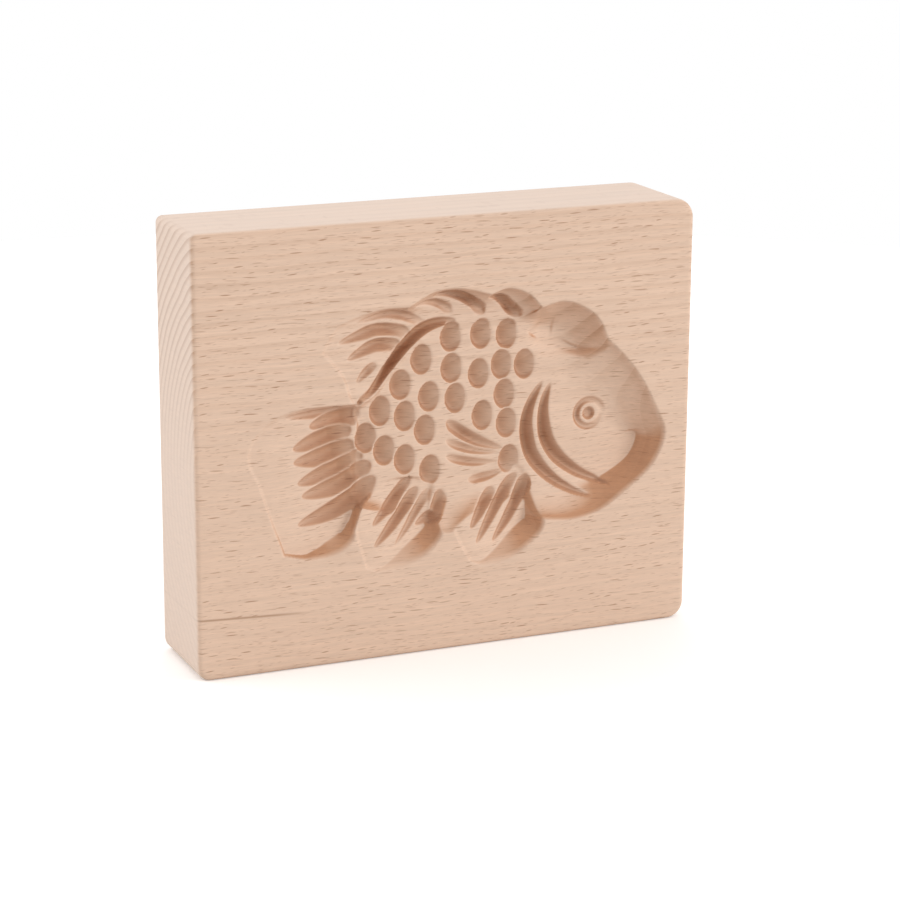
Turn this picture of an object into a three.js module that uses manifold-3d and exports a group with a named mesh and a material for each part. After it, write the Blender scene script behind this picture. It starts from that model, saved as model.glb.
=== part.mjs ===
// A cookie mould: one block of beech with a fish carved into its face.
// Soft dough is pressed into the fish, trimmed level with the face and knocked out.
// Millimetres, +Z up. The block stands on its lower edge with the carved face to -Y,
// the grain runs along X, and the origin is the middle of the base.

import * as THREE from 'three';
import { mergeVertices } from 'three/addons/utils/BufferGeometryUtils.js';
import Module from 'manifold-3d';

// The fish, from the edge of its tail to its nose, and the plain wood left round it
const fishLength = 101.6;
const tailMargin = 12.3;
const noseMargin = 6.1;
const topMargin = 16.3;
const bottomMargin = 18.6;

// Block
const blockThickness = 25;
const topLeftRadius = 1.6;
const topRightRadius = 4.5;
const bottomRightRadius = 4;
const bottomLeftRadius = 3;
const arrisRadius = 0.8;

// Depths of the hollows below the face
const bodyDepthAtTail = 3.6;
const bodyDepthAtNose = 5.6;
const browDepth = 6.4;
const browDepthAtCheek = 5.2;
const backFinDepth = 4;
const backFinEdgeDepth = 0.4;
const tailDepth = 3;
const tailEdgeDepth = 0.3;
const rearFinDepth = 4;
const rearFinEdgeDepth = 0.4;
const bellyFinDepth = 4.8;
const bellyFinEdgeDepth = 0.4;

// Scales, each one a spoon cut that is deepest towards the tail
const scaleWidth = 5.2;
const scaleHeight = 6.8;
const scaleDepth = 1.2;
const scaleLean = 0.7;

// Gouge cuts, by their width and their depth below the hollow that they run in
const gillWidth = 2.8;
const gillDepth = 1.9;
const backGrooveWidth = 2.6;
const backGrooveDepth = 1.9;
const tailFluteWidth = 3;
const tailFluteDepth = 1.1;
const finFluteWidth = 2.6;
const finFluteDepth = 1.1;
const narrowFluteWidth = 1.9;
const narrowFluteDepth = 0.9;

// Eye and mouth
const eyeRingRadius = 3.15;
const eyeRingWidth = 1.5;
const pupilWidth = 2.6;
const pupilDepth = 0.7;
const mouthWidth = 7;
const mouthDepth = 0.6;

// Fineness of the facets
const rimStep = 2.8;
const wallSteps = 4;
const fluteStep = 3.2;
const leastFluteSteps = 5;
const acrossGouge = [-1, -0.6, 0, 0.6, 1];
const spoonSides = 12;
const spoonRings = [1, 0.8, 0.4];
const eyeRingSides = 6;
const eyeRingSteps = 20;
const cornerSteps = 6;
const arrisSteps = 3;
const samePoint = 1e-4;

// How far the cutters stand clear of the face, how narrow a gouge cut gets at its ends, and
// the divisor that keeps a wall's corner from running out too far
const clearOfFace = 1;
const leastHalfWidth = 0.12;
const sharpestMitre = 0.6;

// Hollows are drawn on squared paper, a millimetre to the square, in stretches from corner to
// corner, anticlockwise. Each point gives its place, the run of the wall there from the rim
// down to the floor, and how round the wall is, from 0 for straight to 1 for a quarter round.
const hollows = {
  body: {
    floor: slope([38, 48], bodyDepthAtTail, [108, 48], bodyDepthAtNose),
    rim: [
      [[83.5, 28, 1.2, 0], [87, 27.5, 1.2, 0], [91, 27.3, 1.4, 0], [97.5, 28.7, 1.9, 0],
        [104.5, 33, 2.4, 0], [110.5, 37.8, 3.4, 0], [113.7, 43.5, 4.8, 0], [113.9, 46.8, 7, 0.1],
        [112.9, 49.3, 7.5, 0.2], [107, 60, 9.5, 0.3], [101, 67, 9.5, 0.3], [95, 71.8, 8, 0.3]],
      [[95, 71.8, 8, 0.3], [88, 75, 6, 0.5], [80, 76.8, 5, 1], [70, 77.2, 4, 1], [62, 76.4, 4, 1],
        [54, 74, 3.5, 1], [46, 66.4, 3, 1], [42, 61.3, 3, 1], [37.8, 58.4, 3, 1]],
      [[37.8, 58.4, 1.5, 0], [37.5, 47, 1.5, 0], [37.8, 36, 1.5, 0]],
      [[37.8, 36, 4, 1], [43, 34, 5, 1], [49, 32.6, 5.5, 1], [54, 30.4, 7, 0.6], [59.5, 27.4, 9, 0.3],
        [65, 30.4, 7, 0.6], [73, 32.5, 5, 1], [79, 31, 4, 1], [83.5, 28, 2, 1]],
    ],
  },
  brow: {
    floor: slope([84, 62], browDepthAtCheek, [90, 69], browDepth),
    rim: [
      [[82.2, 77.6, 6, 0.3], [78.5, 74, 5, 1], [77, 68.5, 5, 1], [79.2, 62.5, 5, 1], [84.5, 58.8, 5, 1],
        [90.5, 58.6, 5, 1], [95.8, 61.5, 5, 1], [98.8, 66.5, 6, 0.5], [98.7, 69.2, 7.5, 0.3],
        [96.2, 74.2, 8, 0.3], [92.2, 77.2, 8, 0.3], [87.5, 78.7, 7.5, 0.3], [82.2, 77.6, 6, 0.3]],
    ],
  },
  backFin: {
    floor: slope([30, 70], backFinEdgeDepth, [66, 79], backFinDepth),
    rim: [
      [[37.4, 58.6, 0.6, 0], [36, 60.6, 0.6, 0], [34.3, 65.5, 0.6, 0], [31.6, 69.2, 0.6, 0],
        [29.3, 71.6, 0.6, 0]],
      [[29.3, 71.6, 1.5, 1], [33, 77, 2, 1], [38, 79.1, 2.5, 1], [44, 80.3, 2.5, 1], [50, 80.2, 2.5, 1]],
      [[50, 80.2, 2.5, 0.6], [53, 81.9, 4, 0.6], [56.5, 83.3, 5, 0.6], [60.5, 83.7, 5, 0.6],
        [65, 83, 5, 0.6], [69.7, 81.6, 4, 0.6]],
      [[69.7, 81.6, 4, 0.6], [74, 82.7, 5, 0.6], [79, 80.9, 5, 0.6], [82.4, 77.4, 4, 0.6]],
      [[82.4, 77.4, 1, 1], [77, 72.5, 1, 1], [62, 72, 1, 1], [50, 65.5, 1, 1], [43, 59.5, 1, 1],
        [37.4, 58.6, 1, 1]],
    ],
  },
  tail: {
    floor: slope([14, 44], tailEdgeDepth, [38, 42], tailDepth),
    rim: [
      [[38.5, 59.4, 1.5, 1], [30, 59.7, 2, 1], [25, 59.6, 2, 1], [19.5, 58.6, 2, 1]],
      [[19.5, 58.6, 0.5, 0], [15, 55.6, 0.5, 0], [12.4, 51.8, 0.5, 0], [12.3, 48, 0.5, 0],
        [14.2, 44, 0.5, 0], [15.7, 39.6, 0.5, 0]],
      [[15.7, 39.6, 0.5, 0], [17.5, 34, 0.5, 0], [19.3, 29.2, 0.5, 0], [20.2, 26.6, 0.5, 0]],
      [[20.2, 26.6, 0.6, 0], [25.5, 25.3, 1.2, 0], [31, 25.1, 2.4, 0], [34.2, 26.1, 3, 0],
        [36.6, 28.2, 3, 0], [37.2, 31, 2, 0]],
      [[37.2, 31, 1, 1], [39.5, 37, 1, 1], [42.5, 42, 1, 1], [42.5, 48, 1, 1], [42, 56, 1, 1],
        [38.5, 59.4, 1, 1]],
    ],
  },
  rearFin: {
    floor: slope([40, 23], rearFinEdgeDepth, [54, 34], rearFinDepth),
    rim: [
      [[58.8, 30, 2, 0], [57.8, 26.6, 2.8, 0], [54, 22.7, 3.8, 0], [50, 20.9, 3.4, 0], [46, 20.1, 2, 0],
        [42.5, 20.3, 0.8, 0], [39.7, 21.4, 0.5, 0]],
      [[39.7, 21.4, 0.5, 0], [38.6, 25, 0.5, 0], [37.5, 28.6, 0.5, 0], [37, 32, 0.5, 0]],
      [[37, 32, 1, 1], [41, 39, 1, 1], [50, 41, 1, 1], [58.5, 39, 1, 1], [58.8, 30, 1, 1]],
    ],
  },
  bellyFin: {
    floor: slope([63, 23], bellyFinEdgeDepth, [79, 34], bellyFinDepth),
    rim: [
      [[83.6, 28.2, 2, 0], [83.1, 25.8, 2.8, 0], [79.3, 22.1, 3.8, 0], [75.5, 19.7, 3.6, 0],
        [71, 18.6, 2.4, 0], [67.5, 18.8, 1.2, 0], [65, 20.1, 0.5, 0]],
      [[65, 20.1, 0.5, 0], [62.6, 24.2, 0.5, 0], [61.1, 27.5, 0.5, 0], [60.7, 31, 0.5, 0]],
      [[60.7, 31, 1, 1], [63, 39, 1, 1], [73, 42, 1, 1], [81, 40, 1, 1], [83.6, 28.2, 1, 1]],
    ],
  },
};
const drawn = new THREE.Box2();
for (const { rim } of Object.values(hollows)) {
  for (const [x, z] of rim.flat()) drawn.expandByPoint(new THREE.Vector2(x, z));
}
const square = fishLength / (drawn.max.x - drawn.min.x);
const blockWidth = tailMargin + fishLength + noseMargin;
const blockHeight = bottomMargin + (drawn.max.y - drawn.min.y) * square + topMargin;

// Centres of the scales, row by row from the back down to the belly
const scaleRows = [
  [[41, 50.7], [44.6, 56.6], [49.5, 62.1], [54.6, 67.4], [61.8, 71.9], [69.3, 71.9], [75.7, 71.3]],
  [[45.6, 47.4], [50.6, 54.8], [56.5, 58.7], [62, 64.7], [68.8, 62.8], [74.5, 64.4], [80.3, 63.9]],
  [[50.6, 44.8], [55.5, 51.1], [63, 57.7], [69.8, 53], [75.3, 57.4]],
  [[56.8, 41.7], [76.6, 41.9], [75.9, 50.6]],
];

// Gouge cuts, each path drawn from its blunt end to its thin end. A lean above 0 leaves the
// depth on the left of the gouge's way, and below 0 on its right.
const gougeCuts = [
  {
    width: gillWidth, depth: gillDepth, lean: -0.6, bluntEnd: 0.45, thinEnd: 0.5,
    paths: [
      [[85, 59.6], [82.6, 55.8], [81.2, 52.2], [80.9, 48.2], [82, 43.2], [84.5, 39.4], [87.9, 36.2],
        [91.9, 33.6], [96.4, 31.6]],
      [[87, 59], [85.6, 55.2], [85.2, 51.2], [86, 46.2], [88.3, 42.1], [91.4, 39.1],
        [95.4, 36.4], [101.4, 33.8]],
    ],
  },
  {
    width: backGrooveWidth, depth: backGrooveDepth, lean: 0.5, bluntEnd: 0.15, thinEnd: 0.45,
    paths: [
      [[37.9, 58.5], [41.9, 61.3], [45.9, 66.4], [49.9, 70.8], [54, 74.1], [58, 75.5], [62.9, 75.7]],
    ],
  },
  {
    width: tailFluteWidth, depth: tailFluteDepth, lean: -0.7, bluntEnd: 0.15, thinEnd: 0.6,
    paths: [
      [[43.4, 41.6], [39.8, 38.8], [35.5, 36.4], [31.3, 34.6], [24, 32.9]],
      [[42.3, 44.9], [38.6, 42.9], [34.4, 41], [30.2, 40], [25, 39.3]],
      [[40.4, 47.2], [36.5, 45.5], [32.3, 44.1], [24, 42.3]],
      [[38.6, 49.4], [33.4, 48.6], [29.2, 47.7], [23, 47.3]],
      [[37.5, 53.4], [31.3, 52.1], [22.9, 50.4]],
      [[39.8, 56.3], [34.5, 56], [27, 55]],
    ],
  },
  {
    width: finFluteWidth, depth: finFluteDepth, lean: -0.7, bluntEnd: 0.15, thinEnd: 0.6,
    paths: [
      [[52.1, 40.4], [50, 38], [46.9, 35.1], [41.6, 30.9]],
      [[54.1, 37.9], [51.5, 35], [48.9, 32.1], [45.8, 29.2], [41.8, 25.9]],
      [[59.6, 36.9], [58.5, 34], [56.5, 31.1], [52.9, 29.2]],
      [[72.8, 35.9], [70.2, 33.4], [68.2, 30.9], [65.5, 27.6]],
      [[78.9, 38.3], [76.3, 35.7], [73.2, 32], [70.6, 28.6], [66.9, 23.8]],
      [[81, 38.3], [79.9, 35.3], [78.3, 31.9], [75.7, 28], [71.5, 23.7]],
      [[74.4, 45], [72.4, 45.7], [68.4, 47.2], [64.4, 49.5], [61.7, 52]],
      [[49.1, 71], [47.5, 71.7], [44.4, 72.1], [41.3, 71.8], [35.4, 69.4]],
      [[51.6, 73.7], [48.5, 74.7], [44.4, 75.4], [41.3, 75.3], [33.2, 73.3]],
      [[69.7, 76.3], [68.1, 77.9], [65.5, 79.8], [62.5, 81.2], [59.4, 82], [56.2, 82]],
      [[78.7, 74.8], [77.1, 76], [74.6, 78.4], [72.5, 80], [69.9, 80.6]],
    ],
  },
  {
    width: narrowFluteWidth, depth: narrowFluteDepth, lean: -0.5, bluntEnd: 0.2, thinEnd: 0.6,
    paths: [
      [[56.6, 37.4], [55, 35], [53, 32.1], [50.9, 29.2], [47.3, 25.4]],
      [[73.9, 43.9], [70.4, 44.2], [66.4, 45.3], [60.9, 47.9]],
      [[73.4, 41.6], [68.4, 42.2], [64.4, 42.9], [60.9, 44.2]],
      [[75.9, 38.9], [73, 37.8], [70, 37.1], [66.5, 37]],
      [[43, 67.8], [41.4, 67.2], [39.3, 65.6], [37.7, 63.9]],
      [[55.5, 75.6], [53.5, 76.4], [49.5, 78], [45.3, 78.7], [41.1, 78.2], [37.4, 77.2]],
      [[61.7, 77.2], [61, 78.1], [58.4, 79.6], [55.2, 80.4], [52, 79.8]],
      [[36, 58], [30, 57.8], [24.5, 57.8], [20.4, 57.9]],
    ],
  },
];

const eyeCentre = [96.8, 50.6];
const mouthCentre = [106.8, 47.4];

// From the drawing to the block's face, measured from the middle of the face
function onFace([x, z]) {
  const tail = tailMargin - blockWidth / 2;
  const belly = bottomMargin - blockHeight / 2;
  return new THREE.Vector2(tail + (x - drawn.min.x) * square, belly + (z - drawn.min.y) * square);
}

// From the face to the block: a point so far below the face
function inBlock(x, z, depth) {
  return [x, depth - blockThickness / 2, z + blockHeight / 2];
}

// A floor that gets deeper from one point of the drawing to another and is level beyond them
function slope(fromPoint, fromDepth, toPoint, toDepth) {
  return (x, z) => {
    const start = onFace(fromPoint);
    const along = onFace(toPoint).sub(start);
    const share = new THREE.Vector2(x, z).sub(start).dot(along) / along.lengthSq();
    return THREE.MathUtils.lerp(fromDepth, toDepth, THREE.MathUtils.smoothstep(share, 0, 1));
  };
}

// The rim of a hollow as a ring of points, each with the run and the roundness of its wall
function rimOf(stretches) {
  const ring = [];
  for (const stretch of stretches) {
    const marks = stretch.map((point) => {
      const { x, y } = onFace(point);
      return new THREE.Vector3(x, y, 0);
    });
    const curve = new THREE.CatmullRomCurve3(marks, false, 'centripetal');
    const count = Math.max(1, Math.round(curve.getLength() / rimStep));
    for (let i = 0; i < count; i += 1) {
      const t = curve.getUtoTmapping(i / count);
      const { x, y } = curve.getPoint(t);
      const at = t * (stretch.length - 1);
      const [, , run, roundness] = stretch[Math.floor(at)];
      const [, , nextRun, nextRoundness] = stretch[Math.ceil(at)];
      ring.push({
        x,
        z: y,
        run: square * THREE.MathUtils.lerp(run, nextRun, at % 1),
        roundness: THREE.MathUtils.lerp(roundness, nextRoundness, at % 1),
      });
    }
  }
  const points = ring.map(({ x, z }) => new THREE.Vector2(x, z));
  return THREE.ShapeUtils.area(points) < 0 ? ring.reverse() : ring;
}

// The rim moved inwards by a share of the wall's run. Where it would cross itself,
// the points that have met stay together.
function insetRing(rim, share) {
  const count = rim.length;
  const inward = rim.map((point, i) => {
    const next = rim[(i + 1) % count];
    return new THREE.Vector2(point.z - next.z, next.x - point.x).normalize();
  });
  const ring = rim.map((point, i) => {
    const before = inward[(i + count - 1) % count];
    const mitre = before.clone().add(inward[i]);
    mitre.divideScalar(Math.max(1 + before.dot(inward[i]), sharpestMitre));
    return { ...point, x: point.x + mitre.x * point.run * share, z: point.z + mitre.y * point.run * share };
  });
  const turnedBack = (i) => {
    const j = (i + 1) % count;
    const runX = (ring[j].x - ring[i].x) * (rim[j].x - rim[i].x);
    return runX + (ring[j].z - ring[i].z) * (rim[j].z - rim[i].z) < 0;
  };
  for (let pass = 0; pass < count; pass += 1) {
    const i = ring.findIndex((point, k) => turnedBack(k));
    if (i < 0) break;
    const met = [i, (i + 1) % count];
    const sameAs = (a, b) => ring[a].x === ring[b].x && ring[a].z === ring[b].z;
    while (sameAs(met[0], (met[0] + count - 1) % count)) met.unshift((met[0] + count - 1) % count);
    while (sameAs(met.at(-1), (met.at(-1) + 1) % count)) met.push((met.at(-1) + 1) % count);
    const middle = { x: 0, z: 0 };
    for (const k of met) {
      middle.x += ring[k].x / met.length;
      middle.z += ring[k].z / met.length;
    }
    for (const k of met) Object.assign(ring[k], middle);
  }
  return ring;
}

// Depth of a hollow at a point of the face, with its wall, and 0 outside it
function hollowDepth({ rim, floor }, x, z) {
  let inside = false;
  let nearest = Infinity;
  let wall = 1;
  rim.forEach((a, i) => {
    const b = rim[(i + 1) % rim.length];
    if ((a.z > z) !== (b.z > z) && x < a.x + ((z - a.z) / (b.z - a.z)) * (b.x - a.x)) inside = !inside;
    const lengthSq = (b.x - a.x) ** 2 + (b.z - a.z) ** 2;
    const along = ((x - a.x) * (b.x - a.x) + (z - a.z) * (b.z - a.z)) / lengthSq;
    const share = THREE.MathUtils.clamp(along, 0, 1);
    const gap = Math.hypot(x - a.x - share * (b.x - a.x), z - a.z - share * (b.z - a.z));
    if (gap < nearest) {
      nearest = gap;
      const inwards = Math.min(gap / THREE.MathUtils.lerp(a.run, b.run, share), 1);
      const roundness = THREE.MathUtils.lerp(a.roundness, b.roundness, share);
      wall = THREE.MathUtils.lerp(inwards, roundedRise(inwards), roundness);
    }
  });
  return inside ? floor(x, z) * wall : 0;
}

// A quarter round: steep at 0 and level from 1 on
function roundedRise(share) {
  return Math.sqrt(1 - (1 - Math.min(share, 1)) ** 2);
}

// A closed solid from rings of points with a lid at each end
function solidOfRings(rings) {
  const count = rings[0].length;
  const position = rings.flat(2);
  const index = [];
  for (let k = 0; k < rings.length - 1; k += 1) {
    for (let i = 0; i < count; i += 1) {
      const a = k * count + i;
      const b = k * count + ((i + 1) % count);
      index.push(a, a + count, b + count, a, b + count, b);
    }
  }
  for (const [a, b, c] of lid(rings[0])) index.push(a, b, c);
  const last = (rings.length - 1) * count;
  for (const [a, b, c] of lid(rings.at(-1))) index.push(last + a, last + c, last + b);
  return solidOf(position, index);
}

// The triangles that close a ring, found with the ring laid out flat
function lid(ring) {
  const origin = new THREE.Vector3(...ring[0]);
  const normal = new THREE.Vector3();
  for (let i = 1; i < ring.length - 1; i += 1) {
    const a = new THREE.Vector3(...ring[i]).sub(origin);
    const b = new THREE.Vector3(...ring[i + 1]).sub(origin);
    normal.add(a.cross(b));
  }
  const level = new THREE.Quaternion();
  level.setFromUnitVectors(normal.normalize(), new THREE.Vector3(0, 0, 1));
  const flat = ring.map((point) => {
    const { x, y } = new THREE.Vector3(...point).applyQuaternion(level);
    return new THREE.Vector2(x, y);
  });
  return THREE.ShapeUtils.triangulateShape(flat, []);
}

// A solid for cutting from a closed list of triangles, turned to face outwards
function solidOf(position, index) {
  const geometry = new THREE.BufferGeometry();
  geometry.setAttribute('position', new THREE.Float32BufferAttribute(position, 3));
  geometry.setIndex(index);
  return toSolid(geometry);
}

function toSolid(geometry) {
  const bare = geometry.clone();
  bare.deleteAttribute('normal');
  bare.deleteAttribute('uv');
  const merged = mergeVertices(bare, samePoint);
  const triangles = [];
  const corner = merged.index.array;
  for (let i = 0; i < corner.length; i += 3) {
    const [a, b, c] = [corner[i], corner[i + 1], corner[i + 2]];
    if (a !== b && b !== c && c !== a) triangles.push(a, b, c);
  }
  const vertProperties = Float32Array.from(merged.attributes.position.array);
  const mesh = (order) => new wasm.Mesh({ numProp: 3, vertProperties, triVerts: Uint32Array.from(order) });
  const solid = new wasm.Manifold(mesh(triangles));
  return solid.volume() > 0 ? solid : new wasm.Manifold(mesh(triangles.reverse()));
}

// A hollow's cutter: its wall from the rim down, a floor, and a collar that stands clear
// of the face
function hollowCutter({ rim, floor }) {
  const rings = [rim.map(({ x, z }) => inBlock(x, z, -clearOfFace))];
  for (let k = 0; k <= wallSteps; k += 1) {
    const inwards = 1 - Math.cos((k / wallSteps) * (Math.PI / 2));
    const ring = insetRing(rim, inwards);
    rings.push(ring.map(({ x, z, roundness }) => {
      const wall = THREE.MathUtils.lerp(inwards, roundedRise(inwards), roundness);
      return inBlock(x, z, floor(x, z) * wall);
    }));
  }
  return solidOfRings(rings);
}

// A gouge cut: a round-bottomed groove that follows the floor and tapers at both ends
function gougeCutter(path, { width, depth, lean, bluntEnd, thinEnd }, floorAt) {
  const marks = path.map((point) => {
    const { x, y } = onFace(point);
    return new THREE.Vector3(x, 0, y);
  });
  const curve = new THREE.CatmullRomCurve3(marks, false, 'centripetal');
  const count = Math.max(leastFluteSteps, Math.round(curve.getLength() / fluteStep));
  const rings = [];
  for (let i = 0; i <= count; i += 1) {
    const t = i / count;
    const centre = curve.getPointAt(t);
    const tangent = curve.getTangentAt(t);
    const fullness = roundedRise(t / bluntEnd) * roundedRise((1 - t) / thinEnd);
    const half = Math.max((width / 2) * fullness, leastHalfWidth);
    const bottom = floorAt(centre.x, centre.z);
    const at = (u, below) => {
      const aside = half * u;
      return inBlock(centre.x + tangent.z * aside, centre.z - tangent.x * aside, below);
    };
    const section = (u) => depth * fullness * (1 - u * u) * (1 - lean * u);
    const groove = acrossGouge.map((u) => at(u, bottom + section(u)));
    rings.push([at(-1, -clearOfFace), ...groove, at(1, -clearOfFace)]);
  }
  return solidOfRings(rings);
}

// A spoon cut: an oval dish below the floor, with a collar that stands clear of the face.
// A lean above 0 leaves the depth on the tail side.
function spoonCutter(point, { width, height, depth, lean }, floorAt) {
  const { x, y } = onFace(point);
  const ringAt = (share, below) => Array.from({ length: spoonSides }, (_, i) => {
    const angle = (i / spoonSides) * 2 * Math.PI;
    const u = share * Math.cos(angle);
    const atX = x + (u * width) / 2;
    const atZ = y + (share * Math.sin(angle) * height) / 2;
    return inBlock(atX, atZ, below ?? floorAt(atX, atZ) + depth * (1 - share ** 4) * (1 - lean * u));
  });
  return solidOfRings([ringAt(1, -clearOfFace), ...spoonRings.map((share) => ringAt(share))]);
}

// The ring round the eye
function eyeRingCutter(floorAt) {
  const { x, y } = onFace(eyeCentre);
  const ring = new THREE.TorusGeometry(eyeRingRadius, eyeRingWidth / 2, eyeRingSides, eyeRingSteps);
  ring.rotateX(Math.PI / 2);
  ring.translate(...inBlock(x, y, floorAt(x, y)));
  return toSolid(ring);
}

// The plain block, with a radius at each corner and all its edges eased
function plainBlock() {
  const right = blockWidth / 2;
  const top = blockHeight / 2;
  const quarter = Math.PI / 2;
  const outline = new THREE.Shape();
  outline.moveTo(-right + bottomLeftRadius, -top);
  outline.lineTo(right - bottomRightRadius, -top);
  outline.absarc(right - bottomRightRadius, -top + bottomRightRadius, bottomRightRadius, -quarter, 0);
  outline.lineTo(right, top - topRightRadius);
  outline.absarc(right - topRightRadius, top - topRightRadius, topRightRadius, 0, quarter);
  outline.lineTo(-right + topLeftRadius, top);
  outline.absarc(-right + topLeftRadius, top - topLeftRadius, topLeftRadius, quarter, 2 * quarter);
  outline.lineTo(-right, -top + bottomLeftRadius);
  outline.absarc(
    -right + bottomLeftRadius, -top + bottomLeftRadius, bottomLeftRadius, 2 * quarter, 3 * quarter,
  );
  const block = new THREE.ExtrudeGeometry(outline, {
    depth: blockThickness - 2 * arrisRadius,
    curveSegments: cornerSteps,
    bevelThickness: arrisRadius,
    bevelSize: arrisRadius,
    bevelOffset: -arrisRadius,
    bevelSegments: arrisSteps,
  });
  block.rotateX(Math.PI / 2);
  block.translate(0, blockThickness / 2 - arrisRadius, top);
  return toSolid(block);
}

const wasm = await Module();
wasm.setup();

function carvedBlock() {
  const cut = Object.values(hollows).map(({ floor, rim }) => ({ floor, rim: rimOf(rim) }));
  const floorAt = (x, z) => Math.max(...cut.map((hollow) => hollowDepth(hollow, x, z)));
  const cutters = cut.map(hollowCutter);
  for (const family of gougeCuts) {
    cutters.push(...family.paths.map((path) => gougeCutter(path, family, floorAt)));
  }
  const scale = { width: scaleWidth, height: scaleHeight, depth: scaleDepth, lean: scaleLean };
  const pupil = { width: pupilWidth, height: pupilWidth, depth: pupilDepth, lean: 0 };
  const mouth = { width: mouthWidth, height: mouthWidth, depth: mouthDepth, lean: 0 };
  cutters.push(...scaleRows.flat().map((centre) => spoonCutter(centre, scale, floorAt)));
  cutters.push(eyeRingCutter(floorAt));
  cutters.push(spoonCutter(eyeCentre, pupil, floorAt));
  cutters.push(spoonCutter(mouthCentre, mouth, floorAt));
  const carving = cutters.reduce((whole, cutter) => whole.add(cutter));
  const { vertProperties, triVerts } = plainBlock().subtract(carving).getMesh();
  const geometry = new THREE.BufferGeometry();
  geometry.setAttribute('position', new THREE.BufferAttribute(vertProperties, 3));
  geometry.setIndex(new THREE.BufferAttribute(triVerts, 1));
  geometry.computeVertexNormals();
  return geometry;
}

const beech = new THREE.MeshStandardMaterial({ color: 0xdebfa9, roughness: 0.62, metalness: 0 });

const mouldBlock = new THREE.Mesh(carvedBlock(), beech);
mouldBlock.name = 'mould_block';

const cookieMould = new THREE.Group();
cookieMould.name = 'cookie_mould';
cookieMould.add(mouldBlock);

export default cookieMould;
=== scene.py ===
import math

import bpy
import numpy as np
from mathutils import Matrix, Vector
from mathutils.geometry import delaunay_2d_cdt


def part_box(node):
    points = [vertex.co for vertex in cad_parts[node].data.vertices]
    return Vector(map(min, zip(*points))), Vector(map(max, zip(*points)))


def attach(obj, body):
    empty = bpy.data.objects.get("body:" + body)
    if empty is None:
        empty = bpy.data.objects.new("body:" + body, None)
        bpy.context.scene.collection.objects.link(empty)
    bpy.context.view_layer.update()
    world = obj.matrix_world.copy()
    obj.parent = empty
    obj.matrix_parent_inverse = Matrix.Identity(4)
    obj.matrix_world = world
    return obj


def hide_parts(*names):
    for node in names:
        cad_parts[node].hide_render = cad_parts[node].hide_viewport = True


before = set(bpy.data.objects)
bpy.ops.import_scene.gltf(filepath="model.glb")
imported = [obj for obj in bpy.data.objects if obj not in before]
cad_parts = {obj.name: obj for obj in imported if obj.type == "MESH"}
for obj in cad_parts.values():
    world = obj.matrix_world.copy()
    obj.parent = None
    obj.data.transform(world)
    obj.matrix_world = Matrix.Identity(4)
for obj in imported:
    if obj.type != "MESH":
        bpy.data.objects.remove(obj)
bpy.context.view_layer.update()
blockLow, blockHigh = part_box("mould_block")
print("frame loaded")

mm = 0.001
tiny = 1e-6  # keeps divisions from zero
scene = bpy.context.scene

# kinds of node that are used often
maths = "ShaderNodeMath"
vectors = "ShaderNodeVectorMath"
mapRange = "ShaderNodeMapRange"
separate = "ShaderNodeSeparateXYZ"
combine = "ShaderNodeCombineXYZ"
setPosition = "GeometryNodeSetPosition"
readAttribute = "GeometryNodeInputNamedAttribute"


# an sRGB hex colour as linear red, green, blue and alpha
def hexColour(code):
    parts = [int(code[i:i + 2], 16) / 255 for i in (1, 3, 5)]
    return [p / 12.92 if p <= 0.04045 else ((p + 0.055) / 1.055) ** 2.4 for p in parts] + [1.0]


# adds a node: values fill its sockets in order, sockets does so by name, the rest are settings
def addNode(tree, kind, *values, sockets=None, **settings):
    node = tree.nodes.new(kind)
    for name, value in settings.items():
        setattr(node, name, value)
    shown = [s for s in node.inputs if s.enabled]
    for key, value in (dict(enumerate(values)) | (sockets or {})).items():
        socket = shown[key] if isinstance(key, int) else next(s for s in shown if s.name == key)
        if isinstance(value, bpy.types.Node):
            value = next(s for s in value.outputs if s.enabled)
        if isinstance(value, bpy.types.NodeSocket):
            tree.links.new(value, socket)
        elif value is not None:
            socket.default_value = value
    return node


# a Geometry Nodes tree with named inputs, and its input node
def newTree(name, inputs):
    tree = bpy.data.node_groups.new(name, "GeometryNodeTree")
    tree.interface.new_socket("Geometry", in_out="OUTPUT", socket_type="NodeSocketGeometry")
    for label, kind in [("Geometry", "Geometry"), *inputs]:
        tree.interface.new_socket(label, in_out="INPUT", socket_type="NodeSocket" + kind)
    return tree, tree.nodes.new("NodeGroupInput").outputs


# what a tree makes of an object, as a plain mesh
def runTree(obj, tree, values):
    modifier = obj.modifiers.new(tree.name, "NODES")
    modifier.node_group = tree
    for item in tree.interface.items_tree:
        if item.in_out == "INPUT" and item.name in values:
            modifier[item.identifier] = values[item.name]
    graph = bpy.context.evaluated_depsgraph_get()
    mesh = bpy.data.meshes.new_from_object(obj.evaluated_get(graph), depsgraph=graph)
    obj.modifiers.remove(modifier)
    return mesh


def newObject(name, mesh):
    obj = bpy.data.objects.new(name, mesh)
    scene.collection.objects.link(obj)
    return obj


# The carving is drawn in mm on a sheet that lies flat: x along the block from its tail end, y up
# from the lower edge, z out of the face, so that a depth is a negative z. It is stood up last.

sheet = {
    "width": (blockHigh.x - blockLow.x) / mm,
    "height": (blockHigh.z - blockLow.z) / mm,
    "thickness": (blockHigh.y - blockLow.y) / mm,
}

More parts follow.
